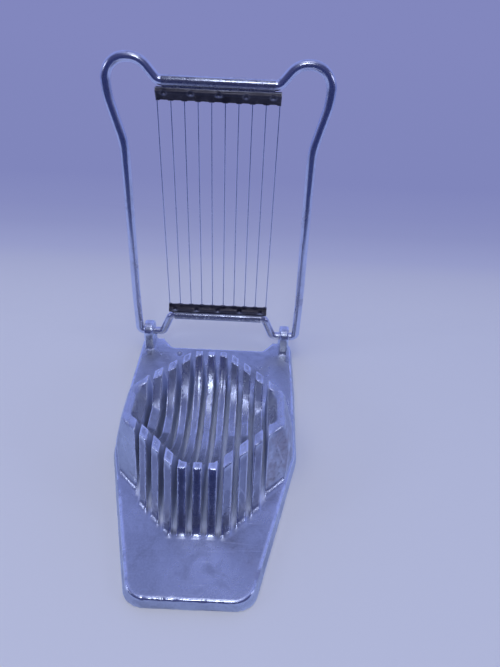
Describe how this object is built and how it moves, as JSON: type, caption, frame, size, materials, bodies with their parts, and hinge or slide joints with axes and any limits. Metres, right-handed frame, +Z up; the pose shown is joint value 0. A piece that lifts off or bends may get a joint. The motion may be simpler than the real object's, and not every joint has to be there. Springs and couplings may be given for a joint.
{
  "type": "egg slicer",
  "caption": "Cast aluminium egg slicer: ribbed cup on a tapered plate, with a hinged bent-rod frame strung with fine cutting wires.",
  "frame": {"origin": "on the resting plane under the middle of the object's box", "axes": "+Z up; -Y towards the tapered front of the plate, +Y towards the hinge; +X across the slicer"},
  "size_m": [0.0848, 0.13, 0.1317],
  "materials": {
    "cast_aluminium": "dull, lightly oxidised casting with bright worn edges",
    "plated_rod": "polished plated steel rod, lightly tarnished",
    "tarnished_strip": "thin folded sheet, dark brown tarnish",
    "steel_wire": "fine drawn stainless wire"
  },
  "bodies": {
    "base": {"base_casting": "cast_aluminium"},
    "frame": {"frame_rod": "plated_rod", "top_wire_strip": "tarnished_strip", "bottom_wire_strip": "tarnished_strip", "cutting_wire_01": "steel_wire", "cutting_wire_02": "steel_wire", "cutting_wire_03": "steel_wire", "cutting_wire_04": "steel_wire", "cutting_wire_05": "steel_wire", "cutting_wire_06": "steel_wire", "cutting_wire_07": "steel_wire", "cutting_wire_08": "steel_wire", "cutting_wire_09": "steel_wire", "cutting_wire_10": "steel_wire"}
  },
  "joints": [
    {"name": "frame_hinge", "type": "hinge", "parent": "base", "child": "frame", "pos_m": [0, 0.0586, 0.012], "axis": [1, 0, 0], "range_deg": [-90, 95]}
  ]
}
